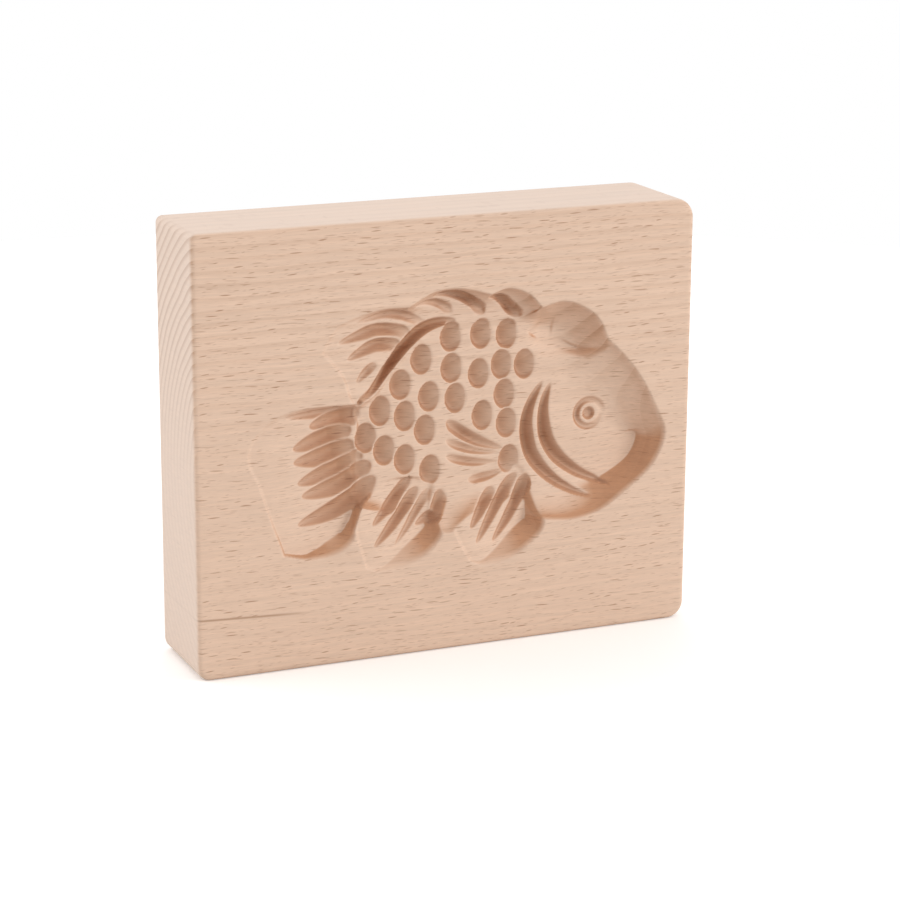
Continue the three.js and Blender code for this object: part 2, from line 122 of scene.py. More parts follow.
# Hollows: a floor that deepens from one point to another, and a rim in stretches from corner to
# corner. A rim point is x, y, the run of the wall there and how round the wall is (0 is straight).
# blend is how broadly a hollow runs into those before it.
hollows = {
    "body": {
        "floor": ((38, 48), 3.6, (108, 48), 5.6),
        "rim": [
            [(83.5, 28, 10, 0.5), (87, 27.5, 10, 0.5), (91, 27.3, 9, 0.5), (97.5, 28.7, 6.2, 0.3),
             (104.5, 33, 4, 0), (110.5, 37.8, 3.8, 0), (113.7, 43.5, 5, 0), (113.9, 46.8, 7, 0.1),
             (112.9, 49.3, 7.4, 0.1), (107, 60, 10.5, 0.3), (101, 67, 11, 0.3), (95, 71.8, 8, 0.3)],
            [(95, 71.8, 8, 0.3), (88, 75, 6, 0.5), (80, 76.8, 5, 1), (70, 77.2, 4, 1), (62, 76.4, 4, 1),
             (54, 74, 3.5, 1), (46, 66.4, 3, 1), (42, 61.3, 3, 1), (37.8, 58.4, 3, 1)],
            [(37.8, 58.4, 1.5, 0), (37.5, 47, 1.5, 0), (37.8, 36, 1.5, 0)],
            [(37.8, 36, 4, 1), (43, 34, 5, 1), (49, 32.6, 5.5, 1), (54, 30.4, 7, 0.6),
             (59.5, 27.4, 9, 0.3), (65, 30.4, 7, 0.6), (73, 32.5, 5, 1), (79, 31, 4, 1),
             (83.5, 28, 2, 1)],
        ],
    },
    "brow": {
        "floor": ((84, 62), 5.2, (90, 69), 6.4),
        "blend": 1,
        "rim": [
            [(82.2, 77.6, 6, 0.3), (77, 74.5, 7, 0.3), (75.5, 69.5, 8, 0.3), (78, 63.8, 7, 0.5),
             (84, 60, 7, 0.4), (91, 60, 6.8, 0.4), (96.8, 62, 6.4, 0.4), (99.5, 66.5, 7.2, 0.35),
             (98.7, 69.2, 8, 0.3), (96.2, 74.2, 8, 0.3), (92.2, 77.2, 8, 0.3), (87.5, 78.7, 7.5, 0.3),
             (82.2, 77.6, 6, 0.3)],
        ],
    },
    "backFin": {
        "floor": ((30, 70), 0.4, (66, 79), 4),
        "blend": 1.2,
        "rim": [
            [(37.4, 58.6, 0.6, 0), (36, 60.6, 0.6, 0), (34.3, 65.5, 0.6, 0), (31.6, 69.2, 0.6, 0),
             (29.3, 71.6, 0.6, 0)],
            [(29.3, 71.6, 1.5, 1), (33, 77, 2, 1), (38, 79.1, 2.5, 1), (44, 80.3, 2.5, 1),
             (50, 80.2, 2.5, 1)],
            [(50, 80.2, 2.5, 0.6), (53, 81.9, 4, 0.6), (56.5, 83.3, 5, 0.6), (60.5, 83.7, 5, 0.6),
             (65, 83, 5, 0.6), (69.7, 81.6, 4, 0.6)],
            [(69.7, 81.6, 4, 0.6), (74, 82.7, 5, 0.6), (79, 80.9, 5, 0.6), (82.4, 77.4, 4, 0.6)],
            [(82.4, 77.4, 1, 1), (77, 72.5, 1, 1), (62, 72, 1, 1), (50, 65.5, 1, 1), (43, 59.5, 1, 1),
             (37.4, 58.6, 1, 1)],
        ],
    },
    "tail": {
        "floor": ((14, 44), 0.3, (38, 42), 3),
        "blend": 1.2,
        "rim": [
            [(38.5, 59.4, 1.5, 1), (30, 59.7, 2, 1), (25, 59.6, 2, 1), (19.5, 58.6, 2, 1)],
            [(19.5, 58.6, 0.5, 0), (15, 55.6, 0.5, 0), (12.4, 51.8, 0.5, 0), (12.3, 48, 0.5, 0),
             (14.2, 44, 0.5, 0), (15.7, 39.6, 0.5, 0)],
            [(15.7, 39.6, 0.5, 0), (17.5, 34, 0.5, 0), (19.3, 29.2, 0.5, 0), (20.2, 26.6, 0.5, 0)],
            [(20.2, 26.6, 0.4, 0), (25.5, 25.3, 0.6, 0), (28, 25.1, 1.6, 0), (31, 25.1, 3, 0),
             (34.2, 26.1, 3.4, 0), (36.6, 28.2, 3, 0), (37.2, 31, 1.2, 0)],
            [(37.2, 31, 0.8, 0), (39.5, 37, 0.8, 0.5), (42.5, 42, 1, 1), (42.5, 48, 1, 1), (42, 56, 1, 1),
             (38.5, 59.4, 1, 1)],
        ],
    },
    "rearFin": {
        "floor": ((38.5, 26), 0.4, (56, 32), 4),
        "blend": 2.4,
        "rim": [
            [(58.8, 30, 3, 0), (57.8, 26.6, 3.4, 0), (54, 22.7, 4.2, 0), (50, 20.9, 3.8, 0),
             (46, 20.1, 2.4, 0), (42.5, 20.3, 0.8, 0), (39.7, 21.4, 0.5, 0)],
            [(39.7, 21.4, 0.5, 0), (38.6, 25, 0.5, 0), (37.5, 28.6, 0.5, 0), (37, 32, 0.5, 0)],
            [(37, 32, 1, 1), (41, 39, 1, 1), (50, 41, 1, 1), (58.5, 39, 2.5, 0.5), (58.8, 30, 3, 0)],
        ],
    },
    "bellyFin": {
        "floor": ((62, 25), 0.4, (81, 31), 4.6),
        "blend": 2.4,
        "rim": [
            [(83.6, 28.2, 3, 0), (83.1, 25.8, 3.4, 0), (79.3, 22.1, 4.4, 0), (75.5, 19.7, 4.2, 0),
             (71, 18.6, 2.8, 0), (67.5, 18.8, 1.2, 0), (65, 20.1, 0.5, 0)],
            [(65, 20.1, 0.5, 0), (62.6, 24.2, 0.5, 0), (61.1, 27.5, 0.5, 0), (60.7, 31, 0.5, 0)],
            [(60.7, 31, 1, 1), (63, 39, 1, 1), (73, 42, 1, 1), (81, 40, 2, 0.5), (83.6, 28.2, 3, 0)],
        ],
    },
}

# Spoon cuts at their centres. A lean above 0 leaves the depth on the tail side.
spoonCuts = {
    "scales": {
        "width": 5.2, "height": 6.8, "depth": 1.2, "lean": 0.85,
        "centres": [
            (41, 50.7), (44.6, 56.6), (49.5, 62.1), (54.6, 67.4), (61.8, 71.9), (69.3, 71.9),
            (75.7, 71.3), (45.6, 47.4), (50.6, 54.8), (56.5, 58.7), (62, 64.7), (68.8, 62.8),
            (74.5, 64.4), (80.3, 63.9), (50.6, 44.8), (55.5, 51.1), (63, 57.7), (69.8, 53),
            (75.3, 57.4), (56.8, 41.7), (76.6, 41.9), (75.9, 50.6),
        ],
    },
    "pupil": {"width": 2.8, "height": 2.8, "depth": 0.9, "lean": 0, "centres": [(96.8, 50.6)]},
}

# the round groove round the eye, as a path that closes on itself
eyeRing = {"centre": (96.8, 50.6), "radius": 3.15, "points": 24}
ringAngles = [2 * math.pi * i / eyeRing["points"] for i in range(eyeRing["points"] + 1)]
eyePath = [(eyeRing["centre"][0] + eyeRing["radius"] * math.cos(a),
            eyeRing["centre"][1] + eyeRing["radius"] * math.sin(a)) for a in ringAngles]

# Gouge cuts, each from its blunt end to its thin end. deepest is where along it the cut bottoms
# out, and a lean above 0 leaves the depth on the left of the gouge's way, below 0 on its right.
gougeCuts = {
    "gills": {
        "width": 3.5, "depth": 2.1, "blunt": 0.35, "thin": 0.45, "deepest": 0.4, "lean": -0.4,
        "paths": [
            [(85, 59.6), (82.6, 55.8), (81.2, 52.2), (80.9, 48.2), (82, 43.2), (84.5, 39.4), (87.9, 36.2),
             (91.9, 33.6), (96.4, 31.6)],
            [(87, 59), (85.6, 55.2), (85.2, 51.2), (86, 46.2), (88.3, 42.1), (91.4, 39.1),
             (95.4, 36.4), (101.4, 33.8)],
        ],
    },
    "backGroove": {
        "width": 3.5, "depth": 3.9, "blunt": 0.06, "thin": 0.3, "deepest": 0.4, "lean": 0,
        "paths": [
            [(37.9, 58.5), (41.9, 61.3), (45.9, 66.4), (49.9, 70.8), (54, 74.1), (58, 75.5), (62.9, 75.7)],
        ],
    },
    "tailFlutes": {
        "width": 4.7, "depth": 2.1, "blunt": 0.12, "thin": 0.4, "deepest": 0.35, "lean": -0.4,
        "paths": [
            [(43.4, 41.6), (39.8, 38.8), (35.5, 36.4), (31.3, 34.6), (24, 32.9)],
            [(42.3, 44.9), (38.6, 42.9), (34.4, 41), (30.2, 40), (25, 39.3)],
            [(40.4, 47.2), (36.5, 45.5), (32.3, 44.1), (24, 42.3)],
            [(38.6, 49.4), (33.4, 48.6), (29.2, 47.7), (23, 47.3)],
            [(37.5, 53.4), (31.3, 52.1), (22.9, 50.4)],
            [(39.8, 56.3), (34.5, 56), (27, 55)],
        ],
    },
    "finFlutes": {
        "width": 3.2, "depth": 1.5, "blunt": 0.12, "thin": 0.4, "deepest": 0.35, "lean": -0.7,
        "paths": [
            [(52.1, 40.4), (50, 38), (46.9, 35.1), (41.6, 30.9)],
            [(54.1, 37.9), (51.5, 35), (48.9, 32.1), (45.8, 29.2), (41.8, 25.9)],
            [(59.6, 36.9), (58.5, 34), (56.5, 31.1), (52.9, 29.2)],
            [(72.8, 35.9), (70.2, 33.4), (68.2, 30.9), (65.5, 27.6)],
            [(78.9, 38.3), (76.3, 35.7), (73.2, 32), (70.6, 28.6), (66.9, 23.8)],
            [(81, 38.3), (79.9, 35.3), (78.3, 31.9), (75.7, 28), (71.5, 23.7)],
            [(60.7, 52.8), (64.4, 49.8), (68.4, 47.3), (72.4, 45.6), (75, 44.8)],
            [(49.1, 71), (47.5, 71.7), (44.4, 72.1), (41.3, 71.8), (35.4, 69.4)],
            [(51.6, 73.7), (48.5, 74.7), (44.4, 75.4), (41.3, 75.3), (33.2, 73.3)],
            [(69.7, 76.3), (68.1, 77.9), (65.5, 79.8), (62.5, 81.2), (59.4, 82), (56.2, 82)],
            [(78.7, 74.8), (77.1, 76), (74.6, 78.4), (72.5, 80), (69.9, 80.6)],
        ],
    },
    "narrowFlutes": {
        "width": 2.3, "depth": 0.9, "blunt": 0.15, "thin": 0.5, "deepest": 0.35, "lean": -0.5,
        "paths": [
            [(56.6, 37.4), (55, 35), (53, 32.1), (50.9, 29.2), (47.3, 25.4)],
            [(60.4, 48.3), (64.4, 46.3), (69.4, 44.8), (74.4, 43.9)],
            [(60.4, 44.6), (64.4, 43.1), (69.4, 42.1), (74.4, 41.6)],
            [(66, 38.2), (70, 38.6), (73, 39), (75.9, 40)],
            [(43, 67.8), (41.4, 67.2), (39.3, 65.6), (37.7, 63.9)],
            [(55.5, 75.6), (53.5, 76.4), (49.5, 78), (45.3, 78.7), (41.1, 78.2), (37.4, 77.2)],
            [(61.7, 77.2), (61, 78.1), (58.4, 79.6), (55.2, 80.4), (52, 79.8)],
            [(36, 58), (30, 57.8), (24.5, 57.8), (20.4, 57.9)],
        ],
    },
    "eyeRing": {
        "width": 1.7, "depth": 0.9, "blunt": 0.001, "thin": 0.001, "deepest": 0.5, "lean": 0,
        "paths": [eyePath],
    },
}

# How fine the board is, how its hollows meet and how its edges are rounded
board = {
    "cell": 0.23,           # between the points of the carved area
    "margin": 2,            # cells of plain face kept round the carving
    "uncut": 0.001,         # what is shallower counts as plain face
    "rimStep": 0.35,        # between the points of a rim
    "reach": 1,             # how far round its rim a hollow is worked out
    "batch": 3000,          # points measured at once
    "snapCells": 0.5,       # grid points this close to a rim move onto it
    "snapDepth": 0.2,       # but not where another hollow is deeper than this
    "blendShare": 0.7,      # the blend of two hollows against the depth of the shallower one
    "crispRun": 4,          # walls with a longer run than this get a softer foot
    "softRun": 12,          # softer by a share of 1 for each so much more run
    "softShares": (0.02, 0.35),  # but within these
    "merge": 1e-5,          # points this close are one
    "cornerRadii": (3, 4, 4.5, 1.6),  # from the bottom left, anticlockwise
    "leastRadius": 0.1,     # left of a corner where its edge is moved in
    "cornerSteps": 10,
    "sideStep": 3,
    "frontArris": 1.1,
    "backArris": 0.9,
    "arrisSteps": 5,
    "strip": 0.5,           # plain strip beside each arris, so that it shades crisply
}


# points every step along a smooth line through the given ones (centripetal Catmull-Rom)
def smoothLine(points, step):
    given = np.array(points, float)
    padded = np.vstack([2 * given[0] - given[1], given, 2 * given[-1] - given[-2]])
    knots = np.concatenate([[0], np.cumsum(np.linalg.norm(np.diff(padded[:, :2], axis=0), axis=1) ** 0.5)])
    line = []
    for i in range(1, len(padded) - 2):
        p, k = padded[i - 1:i + 3], knots[i - 1:i + 3]
        count = max(1, round(np.linalg.norm(p[2, :2] - p[1, :2]) / step))
        for t in np.linspace(k[1], k[2], count, endpoint=False):
            a = [((k[j + 1] - t) * p[j] + (t - k[j]) * p[j + 1]) / (k[j + 1] - k[j]) for j in range(3)]
            b = [((k[j + 2] - t) * a[j] + (t - k[j]) * a[j + 1]) / (k[j + 2] - k[j]) for j in range(2)]
            line.append(((k[2] - t) * b[0] + (t - k[1]) * b[1]) / (k[2] - k[1]))
    return np.array(line + [given[-1]])


# for each point: the nearest point of a line, with the run and the roundness there
def nearLine(line, points):
    edge = np.diff(line[:, :2], axis=0)
    lengthSq = np.maximum((edge ** 2).sum(axis=1), tiny)
    nearest = []
    for part in np.array_split(points, max(1, len(points) // board["batch"])):
        toPoint = part[:, None, :] - line[None, :-1, :2]
        share = np.clip((toPoint * edge).sum(axis=2) / lengthSq, 0, 1)
        gapSq = ((toPoint - share[:, :, None] * edge) ** 2).sum(axis=2)
        at = gapSq.argmin(axis=1)
        t = share[np.arange(len(part)), at][:, None]
        nearest.append((1 - t) * line[at] + t * line[at + 1])
    return np.vstack(nearest)


def isInside(rim, points):
    inside = np.zeros(len(points), bool)
    for (x0, y0), (x1, y1) in zip(rim[:, :2], np.roll(rim[:, :2], -1, axis=0)):
        if y0 != y1:
            spans = (y0 > points[:, 1]) != (y1 > points[:, 1])
            inside ^= spans & (points[:, 0] < x0 + (points[:, 1] - y0) / (y1 - y0) * (x1 - x0))
    return inside


def floorDepth(floor, points):
    fromPoint, fromDepth, toPoint, toDepth = floor
    start, along = np.array(fromPoint), np.array(toPoint) - np.array(fromPoint)
    share = np.clip((points - start) @ along / (along @ along), 0, 1)
    return fromDepth + (toDepth - fromDepth) * share * share * (3 - 2 * share)


# a share that stops growing at 1, softly over so much on each side
def softLimit(share, soft):
    early = share - np.clip(share - 1 + soft, 0, 2 * soft) ** 2 / (4 * soft)
    return np.where(share > 1 + soft, 1, early)


# the deeper of two hollows, rounded where they meet, but not at their rims
def deeper(one, other, blend):
    reach = np.maximum(np.minimum(blend, board["blendShare"] * np.minimum(one, other)), tiny)
    overlap = np.maximum(reach - np.abs(one - other), 0) / reach
    return np.maximum(one, other) + overlap ** 2 * reach / 4


# one hollow's depth at each point, the nearest point of its rim and the way to it
def hollowDepth(hollow, sides, rim, points):
    low, high = rim[:, :2].min(axis=0) - board["reach"], rim[:, :2].max(axis=0) + board["reach"]
    close = ((points > low) & (points < high)).all(axis=1)
    depth, nearest, gap = np.zeros(len(points)), points.copy(), np.full(len(points), math.inf)
    walls = np.ones(close.sum())
    for side in sides:
        found = nearLine(side, points[close])
        run, roundness = found[:, 2], found[:, 3]
        away = np.linalg.norm(points[close] - found[:, :2], axis=1)
        soft = np.clip((run - board["crispRun"]) / board["softRun"], *board["softShares"])
        share = softLimit(away / run, soft)
        wall = roundness * np.sqrt(1 - (1 - share) ** 2) + (1 - roundness) * share
        walls = np.minimum(walls, wall)
        closer = away < gap[close]
        nearest[close] = np.where(closer[:, None], found[:, :2], nearest[close])
        gap[close] = np.where(closer, away, gap[close])
    inside = isInside(rim, points[close])
    depth[close] = np.where(inside, floorDepth(hollow["floor"], points[close]) * walls, 0)
    return depth, nearest, gap


# the depth at each grid point, and its place: those close to a rim are moved onto it
def carvedDepth(sides, rims, points):
    found = [hollowDepth(hollow, sides[name], rims[name], points) for name, hollow in hollows.items()]
    depths = np.array([f[0] for f in found])
    depth, *others = depths
    for hollow, other in zip(list(hollows.values())[1:], others):
        depth = deeper(depth, other, hollow["blend"])
    place, onRim = points.copy(), np.zeros(len(points), bool)
    for k, (_, nearest, gap) in enumerate(found):
        beside = np.delete(depths, k, axis=0).max(axis=0)
        snap = (gap < board["snapCells"] * board["cell"]) & (beside < board["snapDepth"]) & ~onRim
        place[snap] = nearest[snap]
        depth[snap] = beside[snap]
        onRim |= snap
    return depth, place, onRim


# the grid's cells that touch the carving, and a margin round them
def carvedCells(cut):
    keep = cut[:-1, :-1] | cut[1:, :-1] | cut[:-1, 1:] | cut[1:, 1:]
    for _ in range(board["margin"]):
        grown = keep.copy()
        grown[1:] |= keep[:-1]
        grown[:-1] |= keep[1:]
        grown[:, 1:] |= keep[:, :-1]
        grown[:, :-1] |= keep[:, 1:]
        keep = grown
    return keep


# the block's outline on the sheet, moved in by so much, anticlockwise
def blockOutline(inset):
    width, height = sheet["width"], sheet["height"]
    corners = [(0, 0, 1, 1), (width, 0, -1, 1), (width, height, -1, -1), (0, height, 1, -1)]
    steps = np.linspace(0, 1, board["cornerSteps"] + 1)
    arcs = []
    for k, (x, y, toX, toY) in enumerate(corners):
        reach = max(board["cornerRadii"][k], inset + board["leastRadius"])
        radius, turns = reach - inset, math.pi + (k + steps) * math.pi / 2
        arcs.append(np.column_stack([
            x + toX * reach + radius * np.cos(turns), y + toY * reach + radius * np.sin(turns)]))
    outline = []
    for arc, nextArc, length in zip(arcs, arcs[1:] + arcs[:1], (width, height, width, height)):
        count = round(length / board["sideStep"])
        outline += [arc, np.linspace(arc[-1], nextArc[0], count + 1)[1:-1]]
    return np.vstack(outline)


# rings of points from the plain strip inside the front arris round to the back
def blockRings():
    front, back, strip, thick = board["frontArris"], board["backArris"], board["strip"], sheet["thickness"]
    turns = np.linspace(0, math.pi / 2, board["arrisSteps"] + 1)
    section = [(front + strip, 0)] + [(front * (1 - math.sin(t)), -front * (1 - math.cos(t))) for t in turns]
    section += [(0, -front - strip), (0, back + strip - thick)]
    section += [(back * (1 - math.cos(t)), back * (1 - math.sin(t)) - thick) for t in turns]
    section += [(back + strip, -thick)]
    rings = []
    for inset, z in section:
        outline = blockOutline(inset)
        rings.append(np.column_stack([outline, np.full(len(outline), z)]))
    return rings


# triangles from the border of the carved cells out to the first ring
def plainFaces(verts, quads, ring, low, keep):
    edges = np.concatenate([quads[:, [i, (i + 1) % 4]] for i in range(4)])
    keys = {tuple(e) for e in edges.tolist()}
    border = [s for s in keys if (s[1], s[0]) not in keys]
    ids = sorted({i for s in border for i in s}) + ring
    local = {i: k for k, i in enumerate(ids)}
    lines = [(local[a], local[b]) for a, b in border + list(zip(ring, ring[1:] + ring[:1]))]
    flat = [Vector(verts[i][:2]) for i in ids]
    _, _, filled, origins, *_ = delaunay_2d_cdt(flat, lines, [], 0, board["merge"])
    owners = [ids[origin[0]] for origin in origins]
    triangles = []
    for face in filled:
        triangle = tuple(owners[i] for i in face)
        column, row = np.floor((verts[triangle, :2].mean(axis=0) - low) / board["cell"]).astype(int)
        onGrid = 0 <= row < keep.shape[0] and 0 <= column < keep.shape[1] and keep[row, column]
        if not onGrid:
            triangles.append(triangle)
    return triangles


# the block before the cuts: a fine grid of depths in the front, and coarse faces all round
def boardMesh():
    sides = {name: [smoothLine(s, board["rimStep"]) for s in h["rim"]] for name, h in hollows.items()}
    rims = {name: np.vstack([s[:-1] for s in lines]) for name, lines in sides.items()}
    allRims = np.vstack(list(rims.values()))[:, :2]
    edge = (board["margin"] + 2) * board["cell"]
    low, high = allRims.min(axis=0) - edge, allRims.max(axis=0) + edge
    across, up = np.ceil((high - low) / board["cell"]).astype(int) + 1
    gridX = low[0] + board["cell"] * np.arange(across)
    gridY = low[1] + board["cell"] * np.arange(up)
    points = np.stack(np.meshgrid(gridX, gridY), axis=2).reshape(-1, 2)
    depth, place, onRim = carvedDepth(sides, rims, points)
    keep = carvedCells(((depth > board["uncut"]) | onRim).reshape(up, across))
    row, column = np.nonzero(keep)
    first = row * across + column
    quads = np.stack([first, first + 1, first + across + 1, first + across], axis=1)
    used = np.unique(quads)
    quads = np.searchsorted(used, quads)

    rings = blockRings()
    start, count = len(used), len(rings[0])
    verts = np.vstack([np.column_stack([place[used], -depth[used]]), *rings])
    faces = [tuple(q) for q in quads.tolist()]
    for a in range(start, len(verts) - count, count):
        b = a + count
        faces += [(a + i, b + i, b + (i + 1) % count, a + (i + 1) % count) for i in range(count)]
    faces.append(tuple(range(len(verts) - 1, len(verts) - count - 1, -1)))
    faces += plainFaces(verts, quads, list(range(start, start + count)), low, keep)
    mesh = bpy.data.meshes.new("board")
    mesh.from_pydata((verts * mm).tolist(), [], faces)
    carved = mesh.attributes.new("carved", "FLOAT", "POINT")
    carved.data.foreach_set("value", np.arange(len(verts)) < start)
    return mesh


# How the cutters find the board: rays from so far over it or under it, that reach so far
rays = {"over": 5 * mm, "under": 15 * mm, "reach": 30 * mm}
gouge = {
    "step": 0.4 * mm,       # between the points of a path
    "leastHalf": 0.05 * mm,  # half of a cut's least breadth
    "endPower": 0.5,        # how bluntly the breadth opens and closes
    "sinkPower": 0.6,       # and how bluntly the depth does
    "sectionPoints": 15,
}
spoon = {"segments": 28, "rings": 18}
sanding = {
    "blend": 0.1 * mm,      # how broadly cuts run into the floor
    "passes": 2,
    "steepToGentle": (0.6, 0.9),  # how squarely the wood faces out: steep walls stay crisp
    "most": 0.6,
}


# what a tree's board has straight below each point
def boardBelow(tree, board, place):
    target = addNode(tree, "GeometryNodeObjectInfo", board)
    above = addNode(tree, vectors, place, (0, 0, rays["over"]))
    return addNode(tree, "GeometryNodeRaycast", target.outputs["Geometry"], sockets={
        "Source Position": above, "Ray Direction": (0, 0, -1), "Ray Length": rays["reach"]}).outputs


# cutters made from paths: a strip with the gouge's section, laid on the floor that it cuts
def gougeTree():
    tree, given = newTree("gouge cuts", [
        ("Board", "Object"), ("Width", "Float"), ("Depth", "Float"), ("Blunt End", "Float"),
        ("Thin End", "Float"), ("Deepest", "Float"), ("Lean", "Float"), ("Step", "Float")])
    line = addNode(tree, "GeometryNodeMeshToCurve", given["Geometry"])
    line = addNode(tree, "GeometryNodeCurveSplineType", line, spline_type="CATMULL_ROM")
    line = addNode(tree, "GeometryNodeResampleCurve", line, sockets={"Length": given["Step"]}, mode="LENGTH")
    place = addNode(tree, "GeometryNodeInputPosition")
    side, _, height = addNode(tree, separate, place).outputs
    ground = boardBelow(tree, given["Board"], place)["Hit Position"]
    line = addNode(tree, setPosition, line, sockets={"Position": ground})
    line = addNode(tree, "GeometryNodeSetCurveNormal", line, mode="Z_UP")
    # how broad and how deep the cut is along its way
    along = addNode(tree, readAttribute, "along", data_type="FLOAT")
    rest = addNode(tree, maths, 1.0, along, operation="SUBTRACT")
    opening = addNode(tree, maths, along, given["Blunt End"], operation="DIVIDE", use_clamp=True)
    closing = addNode(tree, maths, rest, given["Thin End"], operation="DIVIDE", use_clamp=True)
    broad = addNode(tree, maths, opening, closing, operation="MULTIPLY")
    broad = addNode(tree, maths, broad, gouge["endPower"], operation="POWER")
    half = addNode(tree, maths, broad, given["Width"], operation="MULTIPLY")
    half = addNode(tree, maths, half, 0.5, operation="MULTIPLY")
    half = addNode(tree, maths, half, gouge["leastHalf"], operation="MAXIMUM")
    beyond = addNode(tree, maths, 1.0, given["Deepest"], operation="SUBTRACT")
    sinking = addNode(tree, maths, along, given["Deepest"], operation="DIVIDE", use_clamp=True)
    rising = addNode(tree, maths, rest, beyond, operation="DIVIDE", use_clamp=True)
    deep = addNode(tree, maths, sinking, rising, operation="MULTIPLY")
    deep = addNode(tree, maths, deep, gouge["sinkPower"], operation="POWER")
    deep = addNode(tree, maths, deep, given["Depth"], operation="MULTIPLY")
    steepen = addNode(tree, maths, deep, half, operation="DIVIDE")
    for name, value in (("floorHeight", height), ("steepen", steepen)):
        line = addNode(tree, "GeometryNodeStoreNamedAttribute", line, data_type="FLOAT", sockets={
            "Name": name, "Value": value})
    # the section: a bowl from -1 to 1, a unit deep
    apart = 2 / (gouge["sectionPoints"] - 1)
    section = addNode(tree, "GeometryNodeMeshLine", sockets={
        "Count": gouge["sectionPoints"], "Start Location": (-1, 0, 0), "Offset": (apart, 0, 0)})
    bowl = addNode(tree, maths, side, side, operation="MULTIPLY")
    bowl = addNode(tree, maths, 1.0, bowl, operation="SUBTRACT")
    leaning = addNode(tree, maths, side, given["Lean"], operation="MULTIPLY")
    leaning = addNode(tree, maths, 1.0, leaning, operation="SUBTRACT")
    drop = addNode(tree, maths, bowl, leaning, operation="MULTIPLY")
    drop = addNode(tree, combine, sockets={"Y": drop})
    section = addNode(tree, setPosition, section, sockets={"Offset": drop})
    section = addNode(tree, "GeometryNodeMeshToCurve", section)
    strip = addNode(tree, "GeometryNodeCurveToMesh", line, section, sockets={"Scale": half})
    floor = addNode(tree, readAttribute, "floorHeight", data_type="FLOAT")
    factor = addNode(tree, readAttribute, "steepen", data_type="FLOAT")
    below = addNode(tree, maths, height, floor, operation="SUBTRACT")
    more = addNode(tree, maths, factor, 1.0, operation="SUBTRACT")
    more = addNode(tree, maths, below, more, operation="MULTIPLY")
    more = addNode(tree, combine, sockets={"Z": more})
    strip = addNode(tree, setPosition, strip, sockets={"Offset": more})
    strip = addNode(tree, "GeometryNodeRealizeInstances", strip)
    addNode(tree, "NodeGroupOutput", strip)
    return tree


# cutters at points: spoons that sit on the floor that they cut
def spoonTree():
    tree, given = newTree("spoon cuts", [
        ("Board", "Object"), ("Width", "Float"), ("Height", "Float"), ("Depth", "Float"), ("Lean", "Float")])
    place = addNode(tree, "GeometryNodeInputPosition")
    hit = boardBelow(tree, given["Board"], place)
    centres = addNode(tree, setPosition, given["Geometry"], sockets={"Position": hit["Hit Position"]})
    ball = addNode(tree, "GeometryNodeMeshUVSphere", spoon["segments"], spoon["rings"], 1.0)
    # a fuller bottom than a ball's, that leans
    across, up, deep = addNode(tree, separate, place).outputs
    leaning = addNode(tree, maths, across, given["Lean"], operation="MULTIPLY")
    leaning = addNode(tree, maths, 1.0, leaning, operation="SUBTRACT")
    fuller = addNode(tree, maths, deep, deep, operation="MULTIPLY")
    fuller = addNode(tree, maths, 2.0, fuller, operation="SUBTRACT")
    fuller = addNode(tree, maths, fuller, 0.5, operation="POWER")
    deep = addNode(tree, maths, deep, fuller, operation="MULTIPLY")
    deep = addNode(tree, maths, deep, leaning, operation="MULTIPLY")
    bowl = addNode(tree, combine, across, up, deep)
    ball = addNode(tree, setPosition, ball, sockets={"Position": bowl})
    square = addNode(tree, "FunctionNodeAlignRotationToVector", None, 1.0, hit["Hit Normal"], axis="Z")
    halves = [addNode(tree, maths, given[name], 0.5, operation="MULTIPLY") for name in ("Width", "Height")]
    size = addNode(tree, combine, *halves, given["Depth"])
    spoons = addNode(tree, "GeometryNodeInstanceOnPoints", centres, sockets={
        "Instance": ball, "Rotation": square, "Scale": size})
    spoons = addNode(tree, "GeometryNodeRealizeInstances", spoons)
    addNode(tree, "NodeGroupOutput", spoons)
    return tree


